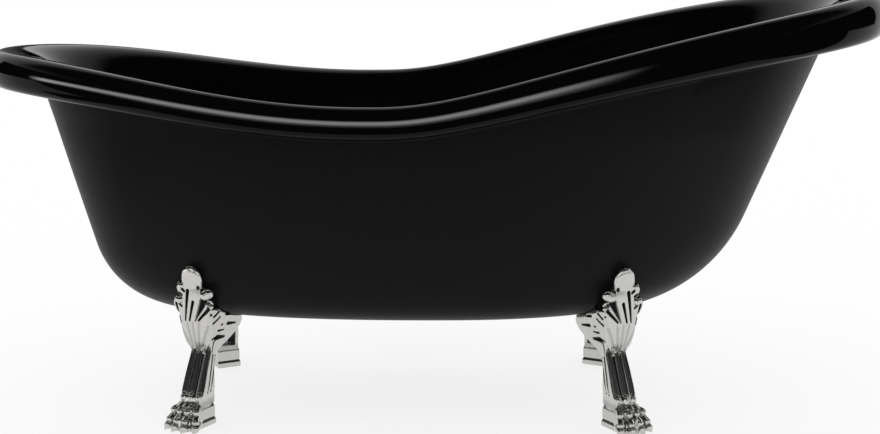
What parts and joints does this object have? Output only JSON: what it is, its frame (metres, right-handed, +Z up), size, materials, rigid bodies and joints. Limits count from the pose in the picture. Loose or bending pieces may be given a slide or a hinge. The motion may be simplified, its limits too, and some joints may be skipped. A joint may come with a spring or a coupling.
{
  "type": "clawfoot bathtub",
  "caption": "Freestanding slipper bath with a rolled rim and an outer skin, on four cast lion's-paw feet with levelling pads, with a lift-up plug, waste and overflow.",
  "frame": {"origin": "on the floor, under the middle of the rim's box", "axes": "+X towards the high head end, -X towards the low foot end with the waste, +Z up, the front is -Y"},
  "size_m": [1.7, 0.746, 0.793],
  "materials": {
    "gloss_black_acrylic": "high gloss black cast acrylic",
    "satin_black_acrylic": "black cast acrylic, softly polished",
    "chrome": "polished chrome plate",
    "zinc_steel": "bright zinc plate",
    "brass": "turned",
    "board": "pressed board, sealed",
    "black_rubber": "moulded",
    "white_plastic": "moulded",
    "grey_hose": "extruded, flexible"
  },
  "bodies": {
    "bath": {"inner_shell": "gloss_black_acrylic", "outer_shell": "satin_black_acrylic", "base_board": "board", "leveller_lock_nuts": "zinc_steel", "foot_screws": "zinc_steel", "bracket_bolts": "zinc_steel", "bracket_washers": "zinc_steel", "block_inserts": "brass", "waste_flange": "chrome", "waste_top_seal": "black_rubber", "waste_bottom_seal": "black_rubber", "waste_body": "white_plastic", "overflow_cover": "chrome", "overflow_screw": "chrome", "overflow_seal": "black_rubber", "overflow_elbow": "white_plastic", "overflow_hose": "grey_hose", "hose_clips": "zinc_steel", "foot_front_left": "chrome", "foot_bracket_front_left": "zinc_steel", "foot_block_front_left": "board", "foot_front_right": "chrome", "foot_bracket_front_right": "zinc_steel", "foot_block_front_right": "board", "foot_back_left": "chrome", "foot_bracket_back_left": "zinc_steel", "foot_block_back_left": "board", "foot_back_right": "chrome", "foot_bracket_back_right": "zinc_steel", "foot_block_back_right": "board"},
    "plug": {"plug_cap": "chrome", "plug_seal": "black_rubber"},
    "leveller_front_left": {"leveller_screw_front_left": "zinc_steel", "leveller_pad_front_left": "black_rubber"},
    "leveller_front_right": {"leveller_screw_front_right": "zinc_steel", "leveller_pad_front_right": "black_rubber"},
    "leveller_back_left": {"leveller_screw_back_left": "zinc_steel", "leveller_pad_back_left": "black_rubber"},
    "leveller_back_right": {"leveller_screw_back_right": "zinc_steel", "leveller_pad_back_right": "black_rubber"}
  },
  "joints": [
    {"name": "plug_lift", "type": "slide", "parent": "bath", "child": "plug", "axis": [0, 0, 1], "range_m": [0, 0.009]},
    {"name": "level_front_left", "type": "slide", "parent": "bath", "child": "leveller_front_left", "axis": [0, 0, -1], "range_m": [0, 0.012]},
    {"name": "level_front_right", "type": "slide", "parent": "bath", "child": "leveller_front_right", "axis": [0, 0, -1], "range_m": [0, 0.012]},
    {"name": "level_back_left", "type": "slide", "parent": "bath", "child": "leveller_back_left", "axis": [0, 0, -1], "range_m": [0, 0.012]},
    {"name": "level_back_right", "type": "slide", "parent": "bath", "child": "leveller_back_right", "axis": [0, 0, -1], "range_m": [0, 0.012]}
  ]
}
